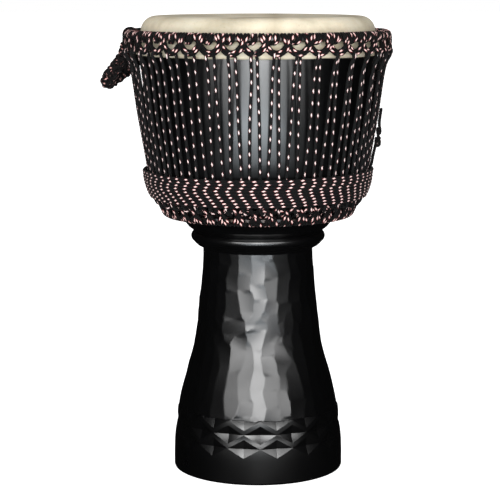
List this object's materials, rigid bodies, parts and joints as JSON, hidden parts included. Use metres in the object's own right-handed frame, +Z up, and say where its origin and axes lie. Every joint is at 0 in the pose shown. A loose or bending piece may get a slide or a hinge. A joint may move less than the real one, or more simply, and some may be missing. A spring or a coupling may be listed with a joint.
{
  "type": "djembe",
  "caption": "Rope-tuned goblet hand drum: carved wooden shell, goat skin head held by rings and laced rope, and a braided carrying handle.",
  "frame": {"origin": "on the drum's axis, at floor level, in the middle of the open foot", "axes": "+Z up along the drum's axis towards the skin; the front faces -Y; the carrying handle is on the -X side"},
  "size_m": [0.4094, 0.3733, 0.635],
  "materials": {
    "black_lacquer": "black satin lacquer over carved wood",
    "goat_skin": "shaved goat skin, cream with grey mottling",
    "ring_steel": "bare round rod",
    "cradle_rope": "black braided rope with pink and red flecks",
    "lacing_rope": "black braided rope with pink and red flecks",
    "wrap_rope": "black braided rope with pink and red flecks",
    "handle_braid": "plaited black rope with pink and red flecks"
  },
  "bodies": {
    "drum": {"shell": "black_lacquer", "goat_skin": "goat_skin", "flesh_ring": "ring_steel", "crown_ring": "ring_steel", "bottom_ring": "ring_steel", "upper_loops": "cradle_rope", "lower_loops": "cradle_rope", "lacing_rope": "lacing_rope", "rope_wraps": "wrap_rope", "lacing_tail": "lacing_rope"},
    "handle": {"carry_handle": "handle_braid"}
  },
  "joints": [
    {"name": "handle_swing", "type": "hinge", "parent": "drum", "child": "handle", "pos_m": [-0.1666, 0.03889, 0.609], "axis": [0.2273, 0.9738, 0], "range_deg": [-8, 115]}
  ]
}
